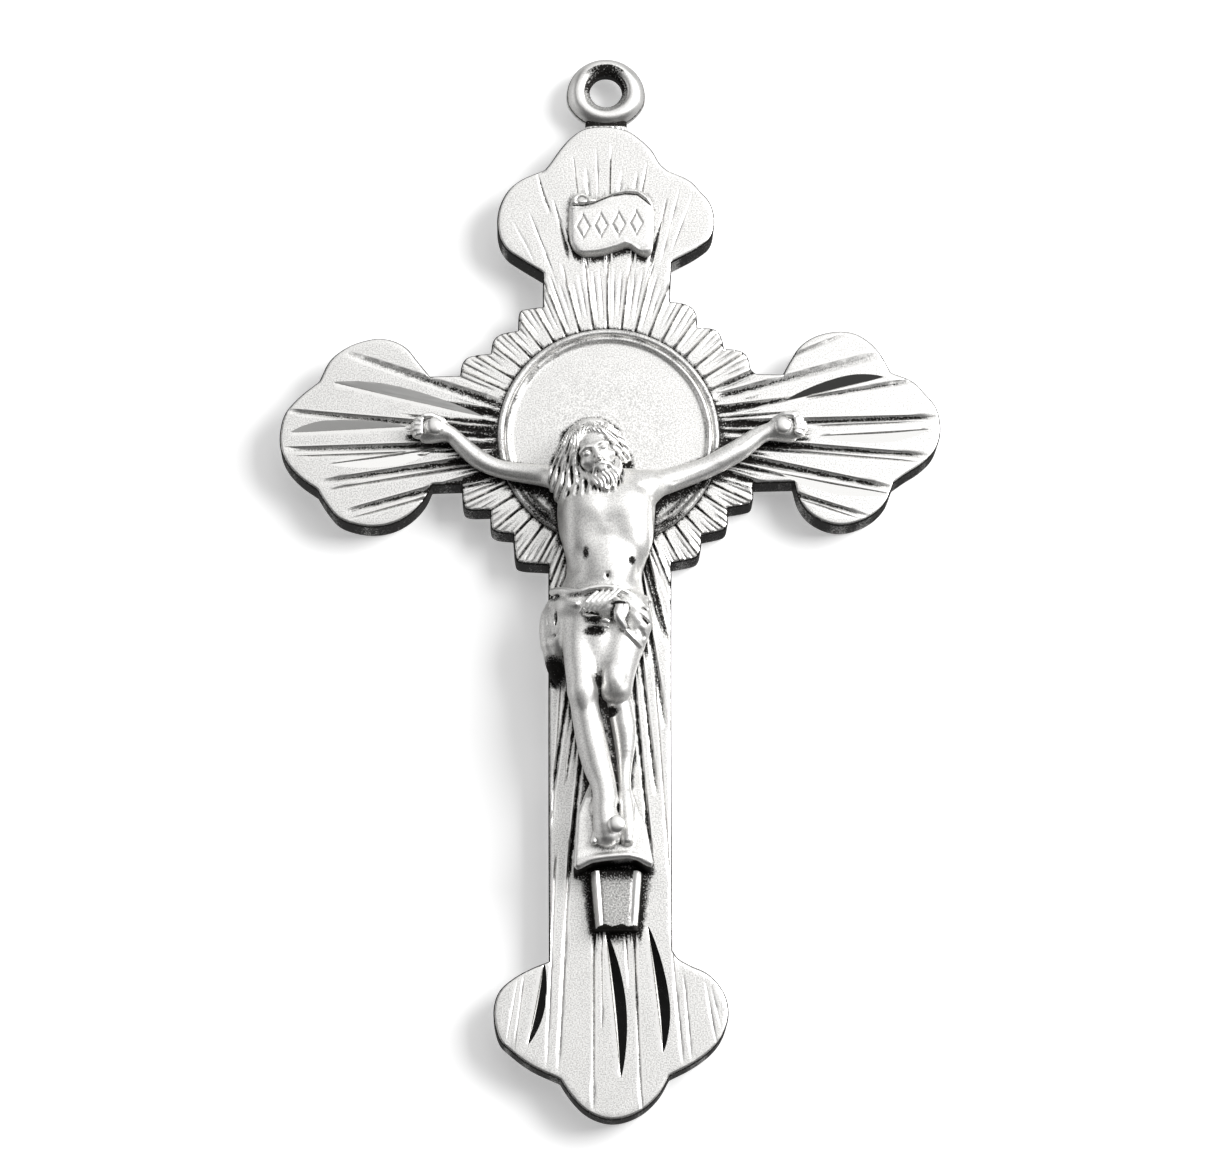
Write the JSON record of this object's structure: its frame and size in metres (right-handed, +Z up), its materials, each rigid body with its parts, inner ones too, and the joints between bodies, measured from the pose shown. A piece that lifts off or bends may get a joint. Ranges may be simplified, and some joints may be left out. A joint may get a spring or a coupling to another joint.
{
  "type": "crucifix pendant",
  "caption": "Lobed cross pendant with a round halo disc, ray-cut sunburst, small figure, scroll plaque and a hanging loop.",
  "frame": {"origin": "centre of the hanging loop's eye", "axes": "+Z up the shaft, -Y out of the decorated face, +X to the viewer's right"},
  "size_m": [0.032, 0.0056, 0.0523],
  "materials": {
    "silver": "antiqued satin silver",
    "silver_polished": "rubbed silver"
  },
  "bodies": {
    "root": {"cross_plate": "silver", "halo_disc": "silver", "title_scroll": "silver", "hanging_loop": "silver", "corpus": "silver", "foot_bracket": "silver", "left_hand_nail": "silver_polished", "right_hand_nail": "silver_polished", "foot_nail": "silver_polished"}
  },
  "joints": []
}
